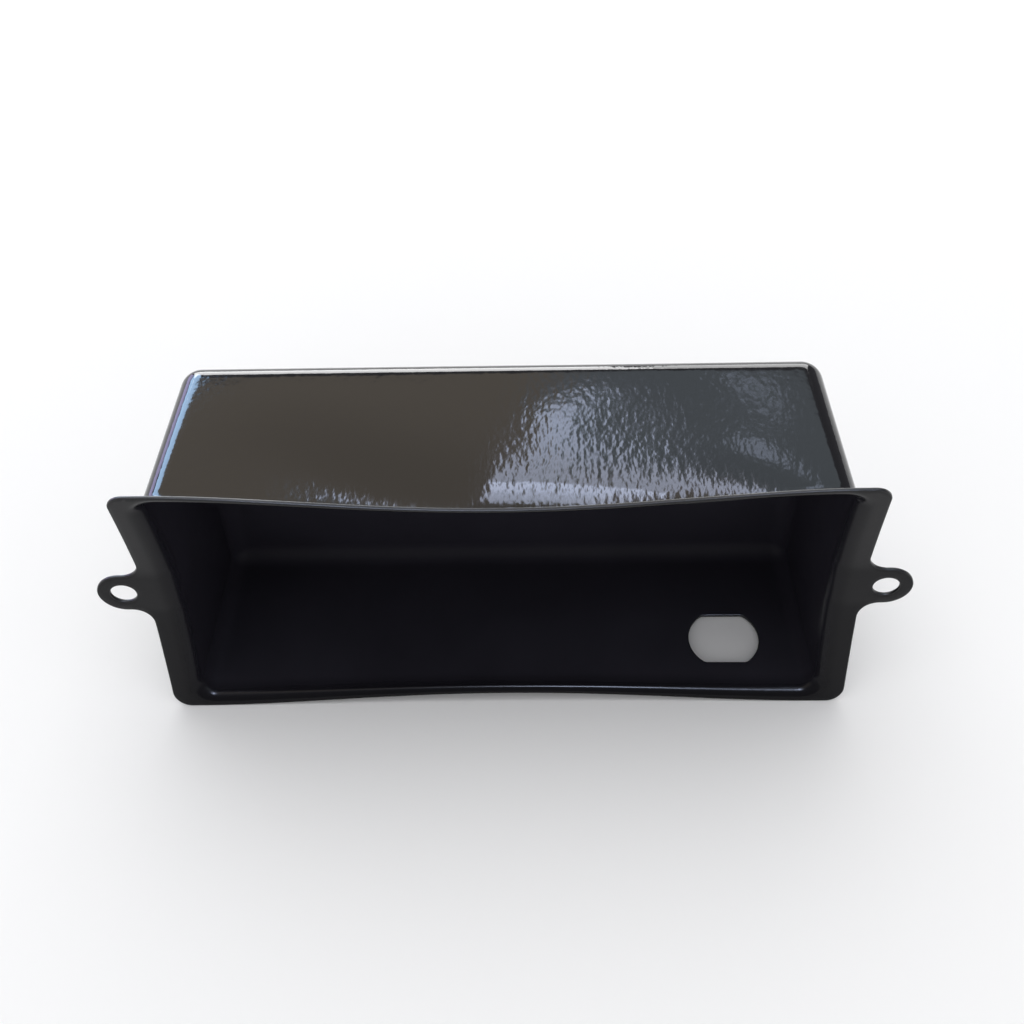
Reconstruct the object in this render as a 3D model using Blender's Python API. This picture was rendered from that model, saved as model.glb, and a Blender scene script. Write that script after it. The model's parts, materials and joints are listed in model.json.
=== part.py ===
"""Saddle-mouthed drain pan in black painted sheet steel.

A deep drawn tub with a turned lip carries two end flanges with screw ears. A double-D port
goes through one long wall.

Drawing axes: X runs along the pan, Y from the mouth to the closed end, and Z across it, with
the plain long wall up and the port wall down. The empty named pan_at_rest leans the drawing
until the pan lies on its port wall. Sizes are in metres and angles in degrees.
"""
import math

import bmesh
import bpy
from mathutils import Matrix, Vector

# Sheet
SHEET = 0.0010
SEAM_GAP = 0.0003

# Tub, with its length and height measured inside at the mouth
MOUTH_LENGTH = 0.1740
MOUTH_HEIGHT = 0.0831
DEPTH = 0.0525
END_DRAFT = 3.9
SIDE_DRAFT = 1.9
CORNER_RADIUS = 0.0055
CLOSED_END_RADIUS = 0.0060
CLOSED_FACE_CORNER = 0.0012

# How far each long wall draws in at the middle of the mouth, and how this dies out behind it: right behind
# the lip, but over the whole depth on the plain wall's left.
PLAIN_WALL_BOW = 0.0065
PORT_WALL_BOW = 0.0028
BOW_START = 0.0020
BOW_REACH = 0.0086
BOW_LEFT_FROM = 0.0660
BOW_REACH_LEFT = 0.0260
BOW_FORM_LEFT = 3.0

# Lip turned out round the mouth, with its bends measured on the inside surface
LIP_BEND = 0.0024
LIP_BEND_MIDDLE = 0.0018
LIP_BEND_END = 0.0045
LIP_LAND = 0.0003
SEAM_LAND = 0.0002

# Flange, measured out from the mouth, whose surface dips behind its corners to sit on a round body
END_FLANGE_WIDTH = 0.0080
CORNER_LIP = 0.00325
PLAIN_FLANGE_CORNER = 0.0046
PORT_FLANGE_CORNER = 0.0050
SADDLE_RECESS = 0.0059
SADDLE_POWER = 1.2

# Screw ears, their holes this far outside the flange's end edge
EAR_STANDOFF = 0.0060
EAR_RADIUS = 0.0070
EAR_HOLE = 0.0070
EAR_FILLET = 0.0055
EAR_LAND = 0.0004

# Double-D port in the port wall, its centre measured from the mouth's right end
PORT_FROM_END = 0.0242
PORT_DEPTH = 0.0193
PORT_DIAMETER = 0.0202
PORT_FLATS = 0.0164

# Facets
LONG_STEPS = 20
END_STEPS = 10
CORNER_STEPS = 5
WALL_STEPS = 16
BEND_STEPS = 4
EDGE_STEPS = 8
HOLE_STEPS = 32

# Finish
BLACK_PAINT = (0.012, 0.012, 0.014, 1.0)
PAINT_ROUGHNESS = 0.14
SHARP_ANGLE = 40.0

FLANGE_LENGTH = MOUTH_LENGTH + 2 * END_FLANGE_WIDTH
FLANGE_HEIGHT = MOUTH_HEIGHT + 2 * CORNER_LIP
EAR_SPACING = FLANGE_LENGTH + 2 * EAR_STANDOFF
PORT_OFFSET = MOUTH_LENGTH / 2 - PORT_FROM_END
SEAM_X = MOUTH_LENGTH / 2 + LIP_BEND_END + SEAM_LAND
FLANGE_INNER_X = SEAM_X + SEAM_GAP


def clear_scene():
    for thing in list(bpy.data.objects):
        bpy.data.objects.remove(thing)


def paint(name):
    """Gloss black paint over steel."""
    material = bpy.data.materials.new(name)
    material.use_nodes = True
    shader = material.node_tree.nodes["Principled BSDF"]
    shader.inputs["Base Color"].default_value = BLACK_PAINT
    shader.inputs["Roughness"].default_value = PAINT_ROUGHNESS
    shader.inputs["Metallic"].default_value = 0.0
    return material


def add_object(name, bm, parent, location=(0.0, 0.0, 0.0)):
    """A named object from a closed bmesh, shaded smooth, hung on its parent."""
    bmesh.ops.recalc_face_normals(bm, faces=bm.faces)
    mesh = bpy.data.meshes.new(name)
    bm.to_mesh(mesh)
    bm.free()
    mesh.shade_smooth()
    mesh.set_sharp_from_angle(angle=math.radians(SHARP_ANGLE))
    mesh.materials.append(paint(name + "_paint"))
    item = bpy.data.objects.new(name, mesh)
    item.parent = parent
    item.location = location
    bpy.context.collection.objects.link(item)
    return item


def cut(item, cutter):
    """Take the cutter's shape out of the object and keep the cutter as a wire guide."""
    cutter.hide_render = True
    cutter.display_type = "WIRE"
    modifier = item.modifiers.new(cutter.name, "BOOLEAN")
    modifier.operation = "DIFFERENCE"
    modifier.solver = "EXACT"
    modifier.object = cutter


def saddle(z):
    """Depth of the mouth surface behind the flange corners, level across the ears."""
    land = EAR_RADIUS + EAR_LAND
    run = max(abs(z) - land, 0.0) / (FLANGE_HEIGHT / 2 - land)
    return SADDLE_RECESS * (1 - run ** SADDLE_POWER)


def middle(x):
    """1 at mid-length of the mouth, easing to 0 at its ends."""
    along = min(abs(x) / (MOUTH_LENGTH / 2), 1.0)
    return (1 - along ** 2) ** 2


def bow(z):
    """The draw-in of the long wall on this side."""
    return PLAIN_WALL_BOW if z > 0 else PORT_WALL_BOW


def bow_share(x, y, z):
    """How much of the draw-in is left at a depth. The plain wall keeps it deeper on the left."""
    along = min(max(1 + x / BOW_LEFT_FROM, 0.0), 1.0)
    right = along ** 2 * (3 - 2 * along) if z > 0 else 1.0
    reach = BOW_REACH_LEFT + (BOW_REACH - BOW_REACH_LEFT) * right
    form = BOW_FORM_LEFT + (1 - BOW_FORM_LEFT) * right
    return math.exp(-(max(y - BOW_START, 0.0) / reach) ** form)


def stations():
    """Places round the tub's section, each a kind, its signs in X and Z, and its own run."""
    corner = [math.radians(90.0) * i / CORNER_STEPS for i in range(CORNER_STEPS + 1)]
    long_run = [1 - 2 * i / LONG_STEPS for i in range(1, LONG_STEPS)]
    end_run = [2 * i / END_STEPS - 1 for i in range(1, END_STEPS)]
    places = [("end", 1, 0, t) for t in end_run]
    places += [("corner", 1, 1, a) for a in corner]
    places += [("long", 0, 1, t) for t in long_run]
    places += [("corner", -1, 1, a + math.radians(90.0)) for a in corner]
    places += [("end", -1, 0, -t) for t in end_run]
    places += [("corner", -1, -1, a + math.radians(180.0)) for a in corner]
    places += [("long", 0, -1, -t) for t in long_run]
    places += [("corner", 1, -1, a + math.radians(270.0)) for a in corner]
    return places


def section_point(station, half_x, half_z, radius):
    """A station's place on a rounded rectangle."""
    kind, side_x, side_z, run = station
    if kind == "corner":
        x = side_x * (half_x - radius) + radius * math.cos(run)
        z = side_z * (half_z - radius) + radius * math.sin(run)
        return x, z
    if kind == "long":
        return run * (half_x - radius), side_z * half_z
    return side_x * half_x, run * (half_z - radius)


def wall_point(station, y, offset):
    """A station on the drafted, bowed wall at a depth, this far outside the inner surface."""
    half_x = MOUTH_LENGTH / 2 - y * math.tan(math.radians(END_DRAFT)) + offset
    half_z = MOUTH_HEIGHT / 2 - y * math.tan(math.radians(SIDE_DRAFT)) + offset
    radius = max(CORNER_RADIUS - SHEET + offset, CLOSED_FACE_CORNER)
    x, z = section_point(station, half_x, half_z, radius)
    return x, z * (1 - bow(z) * middle(x) * bow_share(x, y, z) / half_z)


def mouth_bend(station):
    """The lip's bend radius at a station: largest at the ends, smallest at mid-length."""
    kind, _, _, run = station
    x, _ = wall_point(station, 0.0, 0.0)
    long_bend = LIP_BEND + (LIP_BEND_MIDDLE - LIP_BEND) * middle(x)
    end_share = {"end": 1.0, "long": 0.0, "corner": math.cos(run) ** 2}[kind]
    return long_bend + (LIP_BEND_END - long_bend) * end_share


def flange_corner(x, side):
    """Height of the flange's rounded corner at a place along it, on one side in Z."""
    corner = PLAIN_FLANGE_CORNER if side > 0 else PORT_FLANGE_CORNER
    beyond = max(x - FLANGE_LENGTH / 2 + corner, 0.0)
    return side * (FLANGE_HEIGHT / 2 - corner + math.sqrt(corner ** 2 - beyond ** 2))


def lip_edge_point(station):
    """The trimmed edge of the tub's lip: cut off at the end seams, drawn in at mid-length."""
    kind, side_x, side_z, run = station
    if kind == "end":
        low = flange_corner(SEAM_X, -1)
        high = flange_corner(SEAM_X, 1)
        return side_x * SEAM_X, (low + high + (high - low) * run) / 2
    corner = PLAIN_FLANGE_CORNER if side_z > 0 else PORT_FLANGE_CORNER
    start = FLANGE_LENGTH / 2 - corner
    if kind == "corner":
        x = SEAM_X + (start - SEAM_X) * abs(math.sin(run))
        return side_x * x, flange_corner(x, side_z)
    drop = bow(side_z) + CORNER_LIP - LIP_BEND_MIDDLE - LIP_LAND
    return run * start, side_z * (FLANGE_HEIGHT / 2 - drop * middle(run * start))


def skin(skin_offset):
    """Rings of one surface, from the closed face to the lip edge; the offset is 0 inside."""
    places = stations()
    fillet = CLOSED_END_RADIUS - SHEET + skin_offset
    tangent = DEPTH - CLOSED_END_RADIUS
    rings = []
    for i in range(BEND_STEPS, 0, -1):
        turn = math.radians(90.0) * i / BEND_STEPS
        y = tangent + fillet * math.sin(turn)
        inset = fillet * (1 - math.cos(turn))
        ring = []
        for place in places:
            x, z = wall_point(place, y, skin_offset - inset)
            ring.append(Vector((x, y, z)))
        rings.append(ring)
    for i in range(WALL_STEPS):
        ring = []
        for place in places:
            bend = mouth_bend(place)
            _, base_z = wall_point(place, bend, skin_offset)
            y = tangent + (saddle(base_z) + bend - tangent) * i / WALL_STEPS
            x, z = wall_point(place, y, skin_offset)
            ring.append(Vector((x, y, z)))
        rings.append(ring)
    for i in range(BEND_STEPS + 1):
        turn = math.radians(90.0) * i / BEND_STEPS
        ring = []
        for place in places:
            bend = mouth_bend(place)
            offset = bend - (bend - skin_offset) * math.cos(turn)
            rise = bend - (bend - skin_offset) * math.sin(turn)
            _, base_z = wall_point(place, bend, offset)
            x, z = wall_point(place, saddle(base_z) + rise, offset)
            ring.append(Vector((x, saddle(z) + rise, z)))
        rings.append(ring)
    edge = []
    for place in places:
        x, z = lip_edge_point(place)
        edge.append(Vector((x, saddle(z) + skin_offset, z)))
    rings.append(edge)
    return rings


def drawn_tub(parent):
    """The tub: outer and inner surfaces joined along the lip edge, with a port in one wall."""
    rings = skin(SHEET) + skin(0.0)[::-1]
    bm = bmesh.new()
    loops = [[bm.verts.new(point) for point in ring] for ring in rings]
    count = len(loops[0])
    for ring, following in zip(loops, loops[1:]):
        for i in range(count):
            j = (i + 1) % count
            bm.faces.new((ring[i], ring[j], following[j], following[i]))
    bm.faces.new(loops[0])
    bm.faces.new(loops[-1])
    tub = add_object("drawn_tub", bm, parent)
    cut(tub, port_cutter(parent))
    return tub


def port_cutter(parent):
    """A double-D prism through the port wall."""
    radius = PORT_DIAMETER / 2
    half_flat = PORT_FLATS / 2
    reach = math.asin(half_flat / radius)
    arc = [reach * (2 * i / EDGE_STEPS - 1) for i in range(EDGE_STEPS + 1)]
    right = [(radius * math.cos(a), radius * math.sin(a)) for a in arc]
    left = [(-x, -y) for x, y in right]
    bm = bmesh.new()
    outline = [bm.verts.new((x, y, 0.0)) for x, y in right + left]
    face = bm.faces.new(outline)
    grown = bmesh.ops.extrude_face_region(bm, geom=[face])["geom"]
    top = [item for item in grown if isinstance(item, bmesh.types.BMVert)]
    bmesh.ops.translate(bm, verts=top, vec=(0.0, 0.0, FLANGE_HEIGHT / 2))
    return add_object("port_cutter", bm, parent, (PORT_OFFSET, PORT_DEPTH, -FLANGE_HEIGHT / 2 - SHEET))


def flange_edge(corner):
    """One half of the end flange's outer edge, from the ear's tip to a corner, as X and rise."""
    ear_x = EAR_SPACING / 2
    edge_x = FLANGE_LENGTH / 2
    top = FLANGE_HEIGHT / 2
    strip = edge_x - FLANGE_INNER_X - LIP_LAND / 2
    corner_turn = math.acos(max(1 - strip / corner, 0.0))
    fillet_x = edge_x + EAR_FILLET
    fillet_z = math.sqrt((EAR_RADIUS + EAR_FILLET) ** 2 - (ear_x - fillet_x) ** 2)
    touch = math.atan2(fillet_z, ear_x - fillet_x)
    quarter = math.radians(90.0)
    edge = []
    for i in range(EDGE_STEPS + 1):
        turn = quarter * i / EDGE_STEPS
        edge.append((ear_x + EAR_RADIUS * math.cos(turn), EAR_RADIUS * math.sin(turn)))
    for i in range(1, EDGE_STEPS + 1):
        turn = -touch * (1 - i / EDGE_STEPS) - 2 * quarter * i / EDGE_STEPS
        z = fillet_z + EAR_FILLET * math.sin(turn)
        if z > EAR_RADIUS:
            edge.append((fillet_x + EAR_FILLET * math.cos(turn), z))
    for i in range(1, END_STEPS):
        z = fillet_z + (top - corner - fillet_z) * i / END_STEPS
        edge.append((edge_x, z))
    for i in range(EDGE_STEPS + 1):
        turn = corner_turn * i / EDGE_STEPS
        x = edge_x - corner * (1 - math.cos(turn))
        edge.append((x, top - corner * (1 - math.sin(turn))))
    return edge


def end_flange(name, side, parent):
    """A saddle-curved strip with its screw ear, its origin at the ear hole."""
    centre = Vector((side * EAR_SPACING / 2, SADDLE_RECESS, 0.0))
    lower = flange_edge(PORT_FLANGE_CORNER)
    outline = [(x, -z) for x, z in reversed(lower[1:])] + flange_edge(PLAIN_FLANGE_CORNER)
    bm = bmesh.new()
    rows = []
    for x, z in outline:
        front = saddle(z)
        back = front + SHEET
        corners = ((FLANGE_INNER_X, front), (x, front), (x, back), (FLANGE_INNER_X, back))
        rows.append([bm.verts.new(Vector((side * u, y, z)) - centre) for u, y in corners])
    for row, following in zip(rows, rows[1:]):
        for i in range(4):
            j = (i + 1) % 4
            bm.faces.new((row[i], row[j], following[j], following[i]))
    bm.faces.new(rows[0])
    bm.faces.new(rows[-1])
    flange = add_object(name, bm, parent, centre)
    cut(flange, ear_cutter(name + "_hole", parent, centre))
    return flange


def ear_cutter(name, parent, centre):
    """A round bar through the ear, along the drawing's Y."""
    along_y = Matrix.Rotation(math.radians(90.0), 3, "X")
    bm = bmesh.new()
    bmesh.ops.create_cone(
        bm, cap_ends=True, segments=HOLE_STEPS,
        radius1=EAR_HOLE / 2, radius2=EAR_HOLE / 2, depth=4 * SHEET,
    )
    bmesh.ops.rotate(bm, verts=bm.verts, cent=(0.0, 0.0, 0.0), matrix=along_y)
    return add_object(name, bm, parent, centre + Vector((0.0, SHEET / 2, 0.0)))


def lay_down(frame, pieces):
    """Lean the drawing about X until flange and closed end both touch the table, centred at the origin."""
    points = []
    for piece in pieces:
        points += [vertex.co + piece.location for vertex in piece.data.vertices]
    foot = min(points, key=lambda p: (round(p.z, 7), -p.y))
    behind = [p for p in points if p.y > foot.y + SHEET]
    lean = min(math.atan2(p.z - foot.z, p.y - foot.y) for p in behind)
    turned = [Matrix.Rotation(-lean, 3, "X") @ p for p in points]
    depths = [p.y for p in turned]
    frame.rotation_euler = (-lean, 0.0, 0.0)
    frame.location = (0.0, -(min(depths) + max(depths)) / 2, -min(p.z for p in turned))


def main():
    clear_scene()
    frame = bpy.data.objects.new("pan_at_rest", None)
    bpy.context.collection.objects.link(frame)
    tub = drawn_tub(frame)
    left = end_flange("left_end_flange", -1, frame)
    right = end_flange("right_end_flange", 1, frame)
    lay_down(frame, (tub, left, right))
    bpy.context.view_layer.update()


main()
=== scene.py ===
# %% [markdown]
# # A saddle-mouthed drain pan in gloss black paint
#
# The real pan is one sheet of steel, drawn deep, trimmed, pierced and sprayed with thick black paint.
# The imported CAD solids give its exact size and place. This lesson makes the finished surface: one
# skin that follows the same rules as the pressing, a Geometry Nodes tree that turns the skin into
# painted sheet with soft edges, and a paint with the small ripple called orange peel.

# %% Load the frame
import json
import math

import bmesh
import bpy
import numpy as np
from mathutils import Matrix, Vector
from mathutils.geometry import delaunay_2d_cdt


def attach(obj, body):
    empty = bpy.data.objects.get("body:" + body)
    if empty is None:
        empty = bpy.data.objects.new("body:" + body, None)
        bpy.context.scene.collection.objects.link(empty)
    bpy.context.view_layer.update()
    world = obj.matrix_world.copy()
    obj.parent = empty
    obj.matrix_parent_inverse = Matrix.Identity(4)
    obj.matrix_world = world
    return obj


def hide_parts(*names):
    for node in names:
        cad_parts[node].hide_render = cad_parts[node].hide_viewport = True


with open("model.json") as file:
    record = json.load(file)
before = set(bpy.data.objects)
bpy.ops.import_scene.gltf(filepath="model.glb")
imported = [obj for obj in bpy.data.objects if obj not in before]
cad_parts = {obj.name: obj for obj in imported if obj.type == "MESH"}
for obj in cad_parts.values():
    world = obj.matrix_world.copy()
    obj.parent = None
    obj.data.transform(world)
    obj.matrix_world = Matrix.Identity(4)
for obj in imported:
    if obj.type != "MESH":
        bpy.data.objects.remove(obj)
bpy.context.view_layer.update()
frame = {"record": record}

# %% [markdown]
# ## Sizes of the pressing
#
# These are the drawing's own sizes, in metres and degrees. X runs along the pan, Y from the mouth to
# the closed end, and Z across it, with the plain long wall up and the port wall down.

# %% Sizes
SHEET = 0.0010
MOUTH_LENGTH = 0.1740
MOUTH_HEIGHT = 0.0831
DEPTH = 0.0525
END_DRAFT = math.radians(3.9)
SIDE_DRAFT = math.radians(1.9)
CORNER_RADIUS = 0.0055
CLOSED_END_RADIUS = 0.0060
CLOSED_FACE_CORNER = 0.0012
PLAIN_WALL_BOW = 0.0065
PORT_WALL_BOW = 0.0028
BOW_START = 0.0020
BOW_REACH = 0.0086
BOW_LEFT_FROM = 0.0660
BOW_REACH_LEFT = 0.0260
BOW_FORM_LEFT = 3.0
DENT_DEPTH = 0.00046
DENT_X = 0.0366
DENT_Y = 0.0274
DENT_REACH_X = 0.0240
DENT_REACH_Y = 0.0160
LIP_BEND = 0.0024
LIP_BEND_MIDDLE = 0.0018
LIP_BEND_END = 0.0045
LIP_REACH_MIDDLE = 0.0021
END_FLANGE_WIDTH = 0.0080
CORNER_LIP = 0.00325
PLAIN_FLANGE_CORNER = 0.0046
PORT_FLANGE_CORNER = 0.0050
SADDLE_RECESS = 0.0059
SADDLE_POWER = 1.2
EAR_STANDOFF = 0.0060
EAR_RADIUS = 0.0070
EAR_HOLE = 0.0070
EAR_FILLET = 0.0055
EAR_LAND = 0.0004
PORT_FROM_END = 0.0242
PORT_DEPTH = 0.0193
PORT_DIAMETER = 0.0202
PORT_FLATS = 0.0164
PORT_CORNER = 0.0022
EDGE_RADIUS = 0.00025
FACET_ALLOWANCE = 0.00002

FLANGE_LENGTH = MOUTH_LENGTH + 2 * END_FLANGE_WIDTH
FLANGE_HEIGHT = MOUTH_HEIGHT + 2 * CORNER_LIP
EAR_SPACING = FLANGE_LENGTH + 2 * EAR_STANDOFF
PORT_OFFSET = MOUTH_LENGTH / 2 - PORT_FROM_END
MOUTH_HALF_HEIGHT = MOUTH_HEIGHT / 2 - FACET_ALLOWANCE
WALL_END = DEPTH - CLOSED_END_RADIUS - FACET_ALLOWANCE
QUARTER = math.radians(90.0)
print("flange", round(1000 * FLANGE_LENGTH, 1), "by", round(1000 * FLANGE_HEIGHT, 1), "mm")

# %% [markdown]
# ## How the pan lies
#
# The frame already knows how the pan rests on the table. The record's closed_end_face mount holds a
# point on the closed end and the direction that it faces, so both the lean and the place are read
# from there and no angle is copied by hand.

# %% Rest pose
mounts = {mount["name"]: mount for mount in frame["record"]["mounts"]}
closed_end = mounts["closed_end_face"]
facing = Vector(closed_end["axis"])
lean = math.atan2(facing.z, facing.y)
turn = Matrix.Rotation(lean, 4, "X")
at_rest = Matrix.Translation(Vector(closed_end["pos_m"]) - turn @ Vector((0.0, DEPTH, 0.0))) @ turn
print("the pan leans", round(math.degrees(lean), 2), "degrees")

# %% [markdown]
# ## The rules of the shape
#
# Each surface of the pressing follows a short rule: the mouth dips like a saddle between its corners,
# the long walls draw in towards mid-length, and every section is a rounded rectangle. Written as
# functions, the rules can be asked for a point anywhere, so the mesh can be as fine as the gloss needs.


# %% Shape rules
def saddle(z):
    """Depth of the mouth surface behind the flange corners, level across the ears."""
    land = EAR_RADIUS + EAR_LAND
    run = max(abs(z) - land, 0.0) / (FLANGE_HEIGHT / 2 - land)
    return SADDLE_RECESS * (1 - run ** SADDLE_POWER)


def middle(x):
    """1 at mid-length of the mouth, easing to 0 at its ends."""
    along = min(abs(x) / (MOUTH_LENGTH / 2), 1.0)
    return (1 - along ** 2) ** 2


def bow(z):
    """The draw-in of the long wall on this side."""
    return PLAIN_WALL_BOW if z > 0 else PORT_WALL_BOW


def bow_share(x, y, z):
    """How much of the draw-in is left at a depth. The plain wall keeps it deeper on the left."""
    along = min(max(1 + x / BOW_LEFT_FROM, 0.0), 1.0)
    right = along ** 2 * (3 - 2 * along) if z > 0 else 1.0
    reach = BOW_REACH_LEFT + (BOW_REACH - BOW_REACH_LEFT) * right
    form = BOW_FORM_LEFT + (1 - BOW_FORM_LEFT) * right
    return math.exp(-(max(y - BOW_START, 0.0) / reach) ** form)


def dent(x, y, z):
    """Depth of a shallow dent in the plain wall, where the thin sheet sprang."""
    if z < 0:
        return 0.0
    spread = ((x - DENT_X) / DENT_REACH_X) ** 2 + ((y - DENT_Y) / DENT_REACH_Y) ** 2
    return DENT_DEPTH * math.exp(-spread)


def section_point(station, half_x, half_z, radius):
    """A station's place on a rounded rectangle."""
    kind, side_x, side_z, run = station
    if kind == "corner":
        x = side_x * (half_x - radius) + radius * math.cos(run)
        z = side_z * (half_z - radius) + radius * math.sin(run)
        return x, z
    if kind == "long":
        return run * (half_x - radius), side_z * half_z
    return side_x * half_x, run * (half_z - radius)


def wall_point(station, y, offset):
    """A station on the drafted, bowed wall at a depth, this far outside the mouth-side surface."""
    half_x = MOUTH_LENGTH / 2 - y * math.tan(END_DRAFT) + offset
    half_z = MOUTH_HALF_HEIGHT - y * math.tan(SIDE_DRAFT) + offset
    radius = max(CORNER_RADIUS - SHEET + offset, CLOSED_FACE_CORNER)
    x, z = section_point(station, half_x, half_z, radius)
    drawn_in = bow(z) * middle(x) * bow_share(x, y, z) + dent(x, y, z)
    return x, z * (1 - drawn_in / half_z)


def port_wall(x, y):
    """Height of the port wall's inner surface."""
    half_z = MOUTH_HALF_HEIGHT - y * math.tan(SIDE_DRAFT)
    return PORT_WALL_BOW * middle(x) * bow_share(x, y, -half_z) - half_z


def lip_edge(x, side):
    """The trimmed edge of the lip along a long wall, drawn in at mid-length."""
    drop = (bow(side) + CORNER_LIP - LIP_REACH_MIDDLE) * middle(x)
    return side * (FLANGE_HEIGHT / 2 - drop)


# %% [markdown]
# ## Rings of the tub
#
# A drawn tub is easiest to mesh as rings that run round it, from the middle of the closed end, over
# its fillet, up the walls and round the bend of the lip. All rings share the same stations, so each
# pair of rings is joined by one band of four-sided faces.

# %% Stations and rings
LONG_STEPS = 124
END_STEPS = 60
CORNER_STEPS = 10
FILLET_STEPS = 10
WALL_STEPS = 34
BEND_STEPS = 9
CLOSED_FACE_INSETS = (0.026, 0.016, 0.008, 0.003, 0.0008)


def stations():
    """Places round the tub's section, each a kind, its signs in X and Z, and its own run."""
    corner = [QUARTER * i / CORNER_STEPS for i in range(CORNER_STEPS + 1)]
    long_run = [1 - 2 * i / LONG_STEPS for i in range(1, LONG_STEPS)]
    end_run = [2 * i / END_STEPS - 1 for i in range(1, END_STEPS)]
    places = [("end", 1, 0, t) for t in end_run]
    places += [("corner", 1, 1, a) for a in corner]
    places += [("long", 0, 1, t) for t in long_run]
    places += [("corner", -1, 1, a + QUARTER) for a in corner]
    places += [("end", -1, 0, -t) for t in end_run]
    places += [("corner", -1, -1, a + 2 * QUARTER) for a in corner]
    places += [("long", 0, -1, -t) for t in long_run]
    places += [("corner", 1, -1, a + 3 * QUARTER) for a in corner]
    return places


def closed_end_rings(places):
    """The closed face and its fillet, on the mouth side."""
    fillet = CLOSED_END_RADIUS - SHEET
    steps = [(WALL_END + fillet, -fillet - inset) for inset in CLOSED_FACE_INSETS]
    for i in range(FILLET_STEPS, 0, -1):
        angle = QUARTER * i / FILLET_STEPS
        steps.append((WALL_END + fillet * math.sin(angle), -fillet * (1 - math.cos(angle))))
    rings = []
    for y, offset in steps:
        points = [wall_point(place, y, offset) for place in places]
        rings.append([Vector((x, y, z)) for x, z in points])
    return rings


def mouth_bend(place):
    """The lip's bend radius at a station: largest at the ends, smallest at mid-length."""
    kind, _, _, run = place
    x, _ = wall_point(place, 0.0, 0.0)
    long_bend = LIP_BEND + (LIP_BEND_MIDDLE - LIP_BEND) * middle(x)
    end_share = {"end": 1.0, "long": 0.0, "corner": math.cos(run) ** 2}[kind]
    return long_bend + (LIP_BEND_END - long_bend) * end_share


def wall_ring(places, share):
    """A ring up the wall: 0 at the closed end's fillet, 1 where the lip's bend starts."""
    ring = []
    for place in places:
        bend = mouth_bend(place)
        _, base_z = wall_point(place, bend, 0.0)
        y = WALL_END + (saddle(base_z) + bend - WALL_END) * share
        x, z = wall_point(place, y, 0.0)
        ring.append(Vector((x, y, z)))
    return ring


def bend_ring(places, angle):
    """A ring round the lip's bend, from the wall to the flange."""
    ring = []
    for place in places:
        bend = mouth_bend(place)
        offset = bend * (1 - math.cos(angle))
        rise = bend * (1 - math.sin(angle))
        _, base_z = wall_point(place, bend, offset)
        x, z = wall_point(place, saddle(base_z) + rise, offset)
        ring.append(Vector((x, saddle(z) + rise, z)))
    return ring


places = stations()
rings = closed_end_rings(places)
first_wall_ring = len(rings)
rings += [wall_ring(places, i / WALL_STEPS) for i in range(WALL_STEPS)]
rings += [bend_ring(places, QUARTER * i / BEND_STEPS) for i in range(BEND_STEPS + 1)]
print(len(rings), "rings of", len(places), "stations")

# %% [markdown]
# ## Outlines of the flange, the ears and the port
#
# The press tool trims the flange and pierces three holes. Every cut edge later gets a small round of
# paint that adds EDGE_RADIUS outwards, so the skin stops that much short of the finished outline.

# %% Outlines
EDGE_STEPS = 14
STRAIGHT_STEPS = 22
HOLE_STEPS = 56


def arc(centre, radius, start, end, steps):
    """Points of an arc, without its last one."""
    angles = [start + (end - start) * i / steps for i in range(steps)]
    return [(centre[0] + radius * math.cos(a), centre[1] + radius * math.sin(a)) for a in angles]


def end_edge(corner_radius):
    """The flange's edge from an ear's tip to the start of the long lip, for positive X and Z."""
    ear_x = EAR_SPACING / 2
    edge_x = FLANGE_LENGTH / 2 - EDGE_RADIUS
    top = FLANGE_HEIGHT / 2 - EDGE_RADIUS - FACET_ALLOWANCE
    ear = EAR_RADIUS - EDGE_RADIUS
    fillet = EAR_FILLET + EDGE_RADIUS
    corner = corner_radius - EDGE_RADIUS
    fillet_x = edge_x + fillet
    fillet_z = math.sqrt((ear + fillet) ** 2 - (ear_x - fillet_x) ** 2)
    touch = math.atan2(fillet_z, fillet_x - ear_x)
    edge = arc((ear_x, 0.0), ear, 0.0, touch, EDGE_STEPS)
    edge += arc((fillet_x, fillet_z), fillet, touch - 2 * QUARTER, -2 * QUARTER, EDGE_STEPS)
    rise = top - corner - fillet_z
    edge += [(edge_x, fillet_z + rise * i / STRAIGHT_STEPS) for i in range(STRAIGHT_STEPS)]
    edge += arc((edge_x - corner, top - corner), corner, 0.0, QUARTER, EDGE_STEPS)
    return edge


def long_edge(side):
    """The lip's edge along a long wall, at the stations of the last ring, from +X to -X."""
    start = FLANGE_LENGTH / 2 - (PLAIN_FLANGE_CORNER if side > 0 else PORT_FLANGE_CORNER)
    along = [start * (1 - 2 * i / LONG_STEPS) for i in range(LONG_STEPS + 1)]
    inset = EDGE_RADIUS + FACET_ALLOWANCE
    return [(x, lip_edge(x, side) - side * inset) for x in along]


def flange_outline():
    """The whole trimmed edge, anticlockwise as seen from the mouth, in X and Z."""
    plain = end_edge(PLAIN_FLANGE_CORNER)
    port = end_edge(PORT_FLANGE_CORNER)
    outline = plain + long_edge(1)
    outline += [(-x, z) for x, z in reversed(plain[1:])]
    outline += [(-x, -z) for x, z in port]
    outline += reversed(long_edge(-1))
    outline += [(x, -z) for x, z in reversed(port[1:])]
    return outline


def ear_hole(side):
    """A round hole through an ear."""
    return arc((side * EAR_SPACING / 2, 0.0), EAR_HOLE / 2 + EDGE_RADIUS, 0.0, 4 * QUARTER, HOLE_STEPS)


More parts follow.
